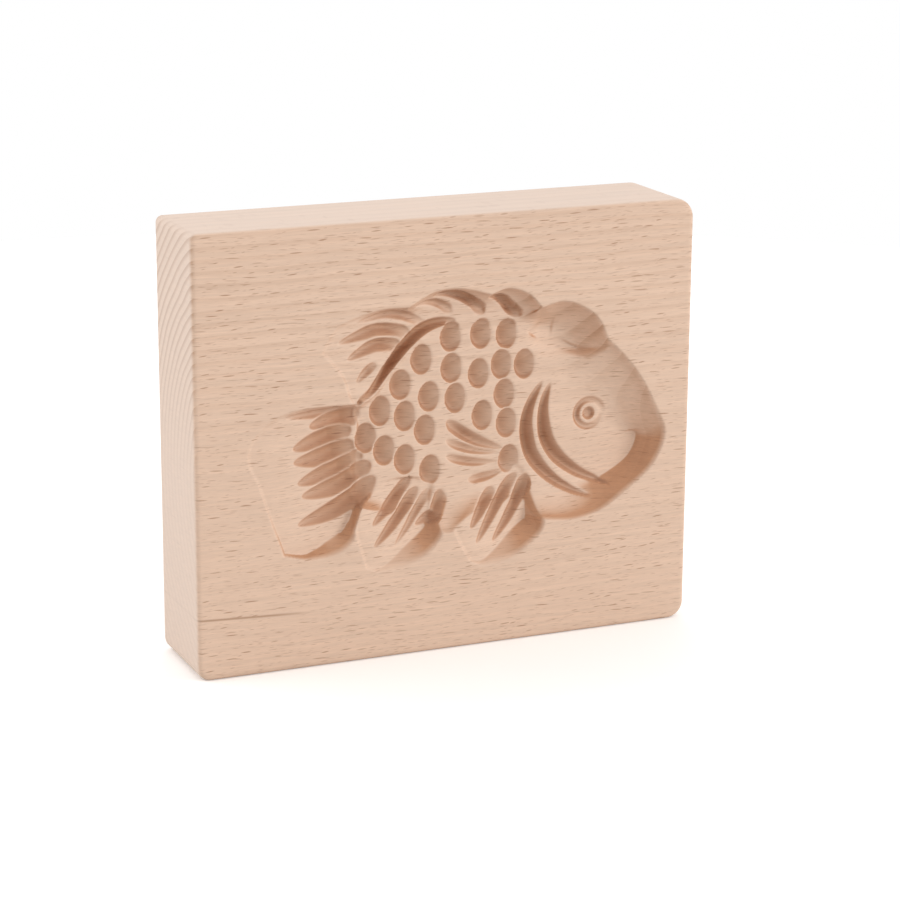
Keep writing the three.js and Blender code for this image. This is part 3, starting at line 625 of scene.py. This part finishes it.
# lowers the board's carved points to the deepest cutter below them, eases the edges and stands it up
def carveTree():
    tree, given = newTree("carve the board", [
        ("Cutters", "Object"), ("Blend", "Float"), ("Sanding", "Int"), ("Corner", "Vector"),
        ("Wood", "Material")])
    cutters = addNode(tree, "GeometryNodeObjectInfo", given["Cutters"])
    place = addNode(tree, "GeometryNodeInputPosition")
    x, y, z = addNode(tree, separate, place).outputs
    under = addNode(tree, combine, x, y, -rays["under"])
    hit = addNode(tree, "GeometryNodeRaycast", cutters.outputs["Geometry"], sockets={
        "Source Position": under, "Ray Direction": (0, 0, 1), "Ray Length": rays["reach"]})
    carved = addNode(tree, readAttribute, "carved", data_type="FLOAT")
    cutting = addNode(tree, maths, carved, hit.outputs["Is Hit"], operation="MULTIPLY")
    hitHeight = addNode(tree, separate, hit.outputs["Hit Position"]).outputs["Z"]
    lower = addNode(tree, maths, z, hitHeight, given["Blend"], operation="SMOOTH_MIN")
    height = addNode(tree, "GeometryNodeSwitch", cutting, z, lower, input_type="FLOAT")
    # keeps how deep the tools cut: the board is lowered by it here, and the wood paints shade in the cuts
    # from it
    tooled = addNode(tree, maths, z, height, operation="SUBTRACT")
    board = addNode(tree, "GeometryNodeStoreNamedAttribute", given["Geometry"], data_type="FLOAT", sockets={
        "Name": "tooled", "Value": tooled})
    tooled = addNode(tree, readAttribute, "tooled", data_type="FLOAT")
    height = addNode(tree, maths, z, tooled, operation="SUBTRACT")
    lowered = addNode(tree, combine, x, y, height)
    board = addNode(tree, setPosition, board, sockets={"Selection": carved, "Position": lowered})
    # sanding eases all but the steep walls
    facing = addNode(tree, separate, addNode(tree, "GeometryNodeInputNormal")).outputs["Z"]
    easing = addNode(tree, mapRange, facing, *sanding["steepToGentle"], 0.0, sanding["most"])
    eased = addNode(tree, "GeometryNodeBlurAttribute", z, given["Sanding"], easing, data_type="FLOAT")
    sanded = addNode(tree, combine, x, y, eased)
    board = addNode(tree, setPosition, board, sockets={"Selection": carved, "Position": sanded})
    board = addNode(tree, "GeometryNodeTransform", board, given["Corner"], (math.pi / 2, 0, 0))
    board = addNode(tree, "GeometryNodeSetShadeSmooth", board)
    board = addNode(tree, "GeometryNodeRealizeInstances", board)
    board = addNode(tree, "GeometryNodeSetMaterial", board, sockets={"Material": given["Wood"]})
    addNode(tree, "NodeGroupOutput", board)
    return tree


# a mesh of the paths' points, joined up, that knows how far along its path each one is
def pathMesh(paths):
    mesh = bpy.data.meshes.new("paths")
    points, edges, along = [], [], []
    for path in paths:
        steps = np.linalg.norm(np.diff(np.array(path), axis=0), axis=1)
        along += [0, *(np.cumsum(steps) / steps.sum())]
        edges += [(len(points) + i, len(points) + i + 1) for i in range(len(path) - 1)]
        points += [(x * mm, y * mm, 0) for x, y in path]
    mesh.from_pydata(points, edges, [])
    mesh.attributes.new("along", "FLOAT", "POINT").data.foreach_set("value", np.array(along, np.float32))
    return mesh


def joinMeshes(meshes):
    points, faces = [], []
    for mesh in meshes:
        faces += [[len(points) + v for v in face.vertices] for face in mesh.polygons]
        points += [tuple(v.co) for v in mesh.vertices]
    joined = bpy.data.meshes.new("joined")
    joined.from_pydata(points, [], faces)
    return joined


def carvedBlock(wood):
    board = newObject("board", boardMesh())
    print("board drawn:", len(board.data.polygons), "faces")
    gouging, spooning = gougeTree(), spoonTree()
    cutters = []
    for cut in gougeCuts.values():
        paths = newObject("paths", pathMesh(cut["paths"]))
        cutters.append(newObject("cutter", runTree(paths, gouging, {
            "Board": board, "Width": cut["width"] * mm, "Depth": cut["depth"] * mm,
            "Blunt End": cut["blunt"], "Thin End": cut["thin"], "Deepest": cut["deepest"],
            "Lean": cut["lean"], "Step": gouge["step"]})))
        bpy.data.objects.remove(paths)
    for cut in spoonCuts.values():
        centres = bpy.data.meshes.new("centres")
        centres.from_pydata([(x * mm, y * mm, 0) for x, y in cut["centres"]], [], [])
        centres = newObject("centres", centres)
        cutters.append(newObject("cutter", runTree(centres, spooning, {
            "Board": board, "Width": cut["width"] * mm, "Height": cut["height"] * mm,
            "Depth": cut["depth"] * mm, "Lean": float(cut["lean"])})))
        bpy.data.objects.remove(centres)
    merged = joinMeshes([c.data for c in cutters])
    for cutter in cutters:
        bpy.data.objects.remove(cutter)
    allCutters = newObject("cutters", merged)
    carved = runTree(board, carveTree(), {
        "Cutters": allCutters, "Blend": sanding["blend"], "Sanding": sanding["passes"],
        "Corner": tuple(blockLow), "Wood": wood})
    bpy.data.objects.remove(board)
    bpy.data.objects.remove(allCutters)
    print("fish carved:", len(carved.polygons), "faces")
    return newObject("carved_block", carved)


# Beech, planed and finely sanded: a pale pinkish tan, dull all over. Growth rings show as curved
# lines on the ends and as faint bands on the face; ray flecks are short dark spindles along the grain.
# Carved slopes turn browner, partly where the carving cuts across the fibres and partly as painted shade in
# the hollows; tool cuts turn darker, partly the tool-cut wood and partly painted shade that deepens with the
# depth of the cut.
# Lengths are in mm, and the scales of the noises are per mm.
beech = {
    "colour": "#E2C2AA",
    "sheenColour": "#ECDDD2",       # painted sheen: where nothing is carved, the top, bottom and ends are whiter than the face
    "sheenShare": 0.5,              # by so much
    "sheenSlopes": (0.5, 1.0),      # slopes are squared sines: 0 faces front or back, 1 faces sideways
    "grainAndShadeColour": "#D2A67C",      # browner wood cut across the fibres and painted shade in the hollows: what carved slopes turn the colour to
    "grainAndShadeSlopes": (0.12, 0.42),  # the slopes between which they do
    "grainAndShadeShare": 0.75,
    "grainAndShadeFacing": (-0.4, 0.1),   # less so where they face down than up
    "grainAndShadeDown": 0.4,
    "grainAndShadeTooled": 0.45,          # and less where the tool cuts' own darkening and painted shade already darken them
    "carvedFrom": 1.0,             # the depth from which they do so in full
    "tooled": "#D3BAA6",           # what gouges and spoons turn the colour to: the tool-cut wood, rougher than sanded floors, and painted shade that deepens with the depth of the cut
    "toolCutAndShadeDepths": (0.15, 1.9),   # where that begins and is full
    "toolCutAndShadePower": 0.5,
    "pith": (0, 37, -45),          # moves the rings' centre in front of the block, near half its height
    "ringGap": 2.3,
    "ringColour": "#B98C69",
    "ringStrength": (0.14, 1.0),   # on the face and on the ends
    "ringsShowAt": (45, 75),       # the heights between which they come out
    "ringsFaint": 0.2,             # what is left of them below
    "lateWood": (0.4, 0.9),        # a ring darkens over this part of its gap
    "ringEnd": (0.95, 1.0),        # and is pale again over this one
    "waver": (0, 2.5, 3.0),        # how far the grain wanders
    "waverScale": (0.018, 0.03, 0.05),
    "waverFrom": (3, 1, 2),        # the part of the noise that it shows
    "waverNoise": (1.0, 2.0, 0.5),  # a noise's scale, detail and roughness
    "streakScale": (0.03, 0.3, 1.2),
    "streakNoise": (1.0, 3.0, 0.6),
    "streaks": (0.95, 1.05),       # dark and light of the long streaks
    "fibreScale": (0.16, 1.5, 3.4),  # real fibres are too fine to show, so these are coarser
    "fibreNoise": (1.0, 2.0, 0.6),
    "fibres": (0.955, 1.045),      # dark and light of the fine fibres
    "noiseRange": (0.3, 0.7),      # what the noise nodes give for the most part
    "fleckColour": "#9E7050",
    "fleckEdge": (-0.03, 0.06),    # how softly a fleck ends, to show at this size
    "fleckDraws": (0.1, 0.8),      # some flecks are fainter, and some hardly there
    "flecksOnEnds": 0.25,          # what shows of them there
    "flecks": [
        {"cell": (3.9, 4, 1.1), "half": (0.8, 2.1), "thick": (0.05, 0.15), "deep": 2.2,
         "slants": (-0.12, 0.06), "strength": 0.68},
        {"cell": (2.3, 3, 0.6), "half": (0.5, 1.2), "thick": (0.03, 0.08), "deep": 1.8,
         "slants": (-0.12, 0.08), "strength": 0.6},
    ],
    "vein": {"height": 11.5, "slope": -0.045, "half": 0.45, "ends": (-44, -30), "colour": "#A98468",
             "strength": 0.8},
    "roughness": 0.68,
    "roughnessSpread": 0.05,
    "relief": {"strength": 0.15, "depth": 0.05},
    "ior": 1.5,
}


def beechMaterial():
    material = bpy.data.materials.new("beech_sanded")
    material.use_nodes = True
    tree = material.node_tree
    surface = tree.nodes["Principled BSDF"]
    inMetres = addNode(tree, "ShaderNodeTexCoord").outputs["Object"]
    place = addNode(tree, "ShaderNodeMapping", inMetres, (0, 0, 0), (0, 0, 0), (1 / mm, 1 / mm, 1 / mm))
    across, through, high = addNode(tree, separate, place).outputs
    facing = addNode(tree, separate, addNode(tree, "ShaderNodeNewGeometry").outputs["Normal"])
    toEnd, toFace, upward = facing.outputs
    atEnd = addNode(tree, maths, toEnd, toEnd, operation="MULTIPLY")
    flat = addNode(tree, maths, toFace, toFace, operation="MULTIPLY")
    slope = addNode(tree, maths, 1.0, flat, operation="SUBTRACT", use_clamp=True)

    # the grain wanders slowly
    slow = addNode(tree, "ShaderNodeMapping", place, beech["waverFrom"], (0, 0, 0), beech["waverScale"])
    waver = addNode(tree, "ShaderNodeTexNoise", slow, *beech["waverNoise"])
    waver = addNode(tree, vectors, waver.outputs["Color"], (0.5, 0.5, 0.5), operation="SUBTRACT")
    waver = addNode(tree, vectors, waver, beech["waver"], operation="MULTIPLY")
    grain = addNode(tree, vectors, place, waver, operation="ADD")

    # growth rings: each darkens towards its outer line, and they come out in the upper half
    fromPith = addNode(tree, "ShaderNodeMapping", grain, beech["pith"], (0, 0, 0), (0, 1, 1))
    radius = addNode(tree, vectors, fromPith, operation="LENGTH").outputs["Value"]
    ring = addNode(tree, maths, radius, beech["ringGap"], operation="DIVIDE")
    ring = addNode(tree, maths, ring, operation="FRACT")
    late = addNode(tree, mapRange, ring, *beech["lateWood"], 0.0, 1.0, interpolation_type="SMOOTHSTEP")
    early = addNode(tree, mapRange, ring, *beech["ringEnd"], 0.0, 1.0, interpolation_type="SMOOTHSTEP")
    ring = addNode(tree, maths, late, early, operation="SUBTRACT")
    strength = addNode(tree, mapRange, atEnd, 0.0, 1.0, *beech["ringStrength"])
    ring = addNode(tree, maths, ring, strength, operation="MULTIPLY")
    showing = addNode(tree, mapRange, high, *beech["ringsShowAt"], beech["ringsFaint"], 1.0)
    ring = addNode(tree, maths, ring, showing, operation="MULTIPLY")
    colour = addNode(tree, "ShaderNodeMix", ring, hexColour(beech["colour"]), hexColour(beech["ringColour"]),
                     data_type="RGBA")

    # long faint streaks and fine fibres
    long = addNode(tree, "ShaderNodeMapping", grain, (0, 0, 0), (0, 0, 0), beech["streakScale"])
    streaks = addNode(tree, "ShaderNodeTexNoise", long, *beech["streakNoise"])
    fine = addNode(tree, "ShaderNodeMapping", grain, (0, 0, 0), (0, 0, 0), beech["fibreScale"])
    fibres = addNode(tree, "ShaderNodeTexNoise", fine, *beech["fibreNoise"])
    streaking = addNode(tree, mapRange, streaks, *beech["noiseRange"], *beech["streaks"])
    fibring = addNode(tree, mapRange, fibres, *beech["noiseRange"], *beech["fibres"])
    value = addNode(tree, maths, streaking, fibring, operation="MULTIPLY")
    colour = addNode(tree, "ShaderNodeHueSaturation", sockets={"Value": value, "Color": colour})

    # ray flecks: a spindle at the point of each cell, of its own length, thickness and strength
    onFace = addNode(tree, mapRange, flat, 0.0, 1.0, beech["flecksOnEnds"], 1.0)
    for fleck in beech["flecks"]:
        perCell = tuple(1 / size for size in fleck["cell"])
        inCells = addNode(tree, vectors, grain, perCell, operation="MULTIPLY")
        cell = addNode(tree, "ShaderNodeTexVoronoi", inCells, 1.0)
        apart = addNode(tree, vectors, inCells, cell.outputs["Position"], operation="SUBTRACT")
        apart = addNode(tree, vectors, apart, fleck["cell"], operation="MULTIPLY")
        x, y, z = addNode(tree, separate, apart).outputs
        draws = addNode(tree, "ShaderNodeSeparateColor", cell.outputs["Color"])
        lengthDraw, thickDraw, strengthDraw = draws.outputs
        half = addNode(tree, mapRange, lengthDraw, 0.0, 1.0, *fleck["half"])
        thick = addNode(tree, mapRange, thickDraw, 0.0, 1.0, *fleck["thick"])
        lengthwise = addNode(tree, maths, x, half, operation="DIVIDE")
        lengthwise = addNode(tree, maths, lengthwise, lengthwise, operation="MULTIPLY")
        deepwise = addNode(tree, maths, y, fleck["deep"], operation="DIVIDE")
        deepwise = addNode(tree, maths, deepwise, deepwise, operation="MULTIPLY")
        share = addNode(tree, maths, 1.0, lengthwise, operation="SUBTRACT")
        share = addNode(tree, maths, share, deepwise, operation="SUBTRACT")
        thick = addNode(tree, maths, thick, share, operation="MULTIPLY")
        slant = addNode(tree, mapRange, lengthDraw, 0.0, 1.0, *fleck["slants"])
        slanted = addNode(tree, maths, x, slant, z, operation="MULTIPLY_ADD")
        gap = addNode(tree, maths, slanted, operation="ABSOLUTE")
        inside = addNode(tree, maths, thick, gap, operation="SUBTRACT")
        inside = addNode(tree, mapRange, inside, *beech["fleckEdge"], 0.0, fleck["strength"],
                         interpolation_type="SMOOTHSTEP")
        strength = addNode(tree, mapRange, strengthDraw, *beech["fleckDraws"], 0.0, 1.0)
        inside = addNode(tree, maths, inside, strength, operation="MULTIPLY")
        inside = addNode(tree, maths, inside, onFace, operation="MULTIPLY")
        tint = hexColour(beech["fleckColour"])
        colour = addNode(tree, "ShaderNodeMix", inside, colour, tint, data_type="RGBA")

    # one dark vein low on the tail side
    vein = beech["vein"]
    level = addNode(tree, maths, across, vein["slope"], vein["height"], operation="MULTIPLY_ADD")
    off = addNode(tree, maths, high, level, operation="SUBTRACT")
    off = addNode(tree, maths, off, operation="ABSOLUTE")
    dark = addNode(tree, mapRange, off, 0.0, vein["half"], vein["strength"], 0.0,
                   interpolation_type="SMOOTHSTEP")
    fading = addNode(tree, mapRange, across, *vein["ends"], 1.0, 0.0, interpolation_type="SMOOTHSTEP")
    dark = addNode(tree, maths, dark, fading, operation="MULTIPLY")
    dark = addNode(tree, maths, dark, onFace, operation="MULTIPLY")
    colour = addNode(tree, "ShaderNodeMix", dark, colour, hexColour(vein["colour"]), data_type="RGBA")

    # painted sheen: paler top, bottom and ends, where nothing is carved
    carved = addNode(tree, "ShaderNodeAttribute", attribute_name="carved").outputs["Fac"]
    plain = addNode(tree, maths, 1.0, carved, operation="SUBTRACT")
    plain = addNode(tree, maths, plain, slope, operation="MULTIPLY")
    plain = addNode(tree, mapRange, plain, *beech["sheenSlopes"], 0.0, beech["sheenShare"])
    colour = addNode(tree, "ShaderNodeMix", plain, colour, hexColour(beech["sheenColour"]), data_type="RGBA")

    # carved slopes and tool cuts turn darker and browner than the sanded face: partly the wood cut across
    # its fibres and by the tools, partly painted shade in the hollows that deepens with the depth of a cut
    shallow, full = beech["toolCutAndShadeDepths"]
    # painted shade that deepens with how deep the tools cut, over the tool-cut wood's own colour
    tooled = addNode(tree, "ShaderNodeAttribute", attribute_name="tooled").outputs["Fac"]
    tooled = addNode(tree, mapRange, tooled, shallow * mm, full * mm, 0.0, 1.0)
    tooled = addNode(tree, maths, tooled, beech["toolCutAndShadePower"], operation="POWER")
    untooled = addNode(tree, mapRange, tooled, 0.0, 1.0, 1.0, beech["grainAndShadeTooled"])
    front = blockLow.y / mm
    sunk = addNode(tree, mapRange, through, front, front + beech["carvedFrom"], 0.0, 1.0)
    upward = addNode(tree, mapRange, upward, *beech["grainAndShadeFacing"], beech["grainAndShadeDown"], 1.0)
    browned = addNode(tree, mapRange, slope, *beech["grainAndShadeSlopes"], 0.0, beech["grainAndShadeShare"])
    for share in (carved, sunk, untooled, upward):
        browned = addNode(tree, maths, browned, share, operation="MULTIPLY")
    for share, tint in ((browned, beech["grainAndShadeColour"]), (tooled, beech["tooled"])):
        colour = addNode(tree, "ShaderNodeMix", share, colour, hexColour(tint), data_type="RGBA",
                         blend_type="MULTIPLY")

    rough, spread, relief = beech["roughness"], beech["roughnessSpread"], beech["relief"]
    dull = addNode(tree, mapRange, fibres, *beech["noiseRange"], rough - spread, rough + spread)
    raised = addNode(tree, "ShaderNodeBump", relief["strength"], relief["depth"] * mm,
                     sockets={"Height": fibres})
    for name, value in (("Base Color", colour), ("Roughness", dull), ("Normal", raised)):
        tree.links.new(next(s for s in value.outputs if s.enabled), surface.inputs[name])
    surface.inputs["IOR"].default_value = beech["ior"]
    return material


block = carvedBlock(beechMaterial())
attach(block, "root")
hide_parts("mould_block")


# Studio: white surroundings light the block from all round, with a soft key low on the right, a weak
# lamp on the left for the end and one behind for the top edge
studio = {
    "lamps": {
        "key": {"place": (1.5, -1.15, 0.58), "size": 0.6, "power": 16},
        "left": {"place": (-0.9, 0.25, 0.45), "size": 0.9, "power": 3.3},
        "back": {"place": (0.1, 0.7, 0.9), "size": 0.9, "power": 2},
    },
    "fill": 0.69,
    "floorRadius": 0.5,
    "floorSteps": 96,
    "floorShade": 0.8,      # what the floor sends back to the block
    "floorSeen": 1.25,      # and what the camera sees, white but for the block's shadow
}
middle = (blockLow + blockHigh) / 2


def addLight(name, place, size, power):
    lamp = bpy.data.lights.new(name, "AREA")
    lamp.size = size
    lamp.energy = power
    light = newObject(name, lamp)
    light.location = place
    light.rotation_euler = (middle - Vector(place)).to_track_quat("-Z", "Y").to_euler()


def greyTone(shade):
    return (shade, shade, shade, 1)


def addFloor():
    ground = bpy.data.meshes.new("floor")
    turns = np.linspace(0, 2 * math.pi, studio["floorSteps"], endpoint=False)
    radius = studio["floorRadius"]
    ground.from_pydata([(radius * math.cos(t), radius * math.sin(t), blockLow.z) for t in turns],
                       [], [tuple(range(len(turns)))])
    paper = bpy.data.materials.new("white_paper")
    paper.use_nodes = True
    tree = paper.node_tree
    seen = addNode(tree, "ShaderNodeLightPath").outputs["Is Camera Ray"]
    tones = [greyTone(studio[name]) for name in ("floorShade", "floorSeen")]
    tone = addNode(tree, "ShaderNodeMix", seen, *tones, data_type="RGBA")
    sheen = addNode(tree, "ShaderNodeBsdfDiffuse", tone)
    tree.links.new(sheen.outputs[0], tree.nodes["Material Output"].inputs["Surface"])
    ground.materials.append(paper)
    floor = newObject("floor", ground)


def addSurroundings():
    world = bpy.data.worlds.new("studio")
    world.use_nodes = True
    scene.world = world
    tree = world.node_tree
    path = addNode(tree, "ShaderNodeLightPath").outputs
    seen = addNode(tree, maths, path["Is Camera Ray"], path["Is Glossy Ray"], operation="MAXIMUM")
    seen = addNode(tree, maths, seen, path["Is Transmission Ray"], operation="MAXIMUM")
    strength = addNode(tree, "ShaderNodeMix", seen, studio["fill"], 1.0)
    surround = tree.nodes["Background"]
    surround.inputs["Color"].default_value = greyTone(1)
    tree.links.new(strength.outputs[0], surround.inputs["Strength"])


for name, lamp in studio["lamps"].items():
    addLight(name, **lamp)
addFloor()
addSurroundings()
print("studio lit")

# Camera, solved from the block's seven visible corners
camera = {
    "place": (-236.8, -561.7, 210.1),
    "ahead": (0.3817, 0.886, -0.2632),
    "up": (0.0992, 0.2439, 0.9647),
    "lens": 110.9,
    "sensor": 36,
}
lens = bpy.data.cameras.new("camera")
lens.lens = camera["lens"]
lens.sensor_width = camera["sensor"]
eye = newObject("camera", lens)
ahead, up = Vector(camera["ahead"]).normalized(), Vector(camera["up"]).normalized()
right = ahead.cross(up).normalized()
turn = Matrix((right, right.cross(ahead), -ahead)).transposed()
eye.matrix_world = Matrix.Translation(Vector(camera["place"]) * mm) @ turn.to_4x4()
scene.camera = eye
scene.view_settings.view_transform = "Standard"
print("camera set")
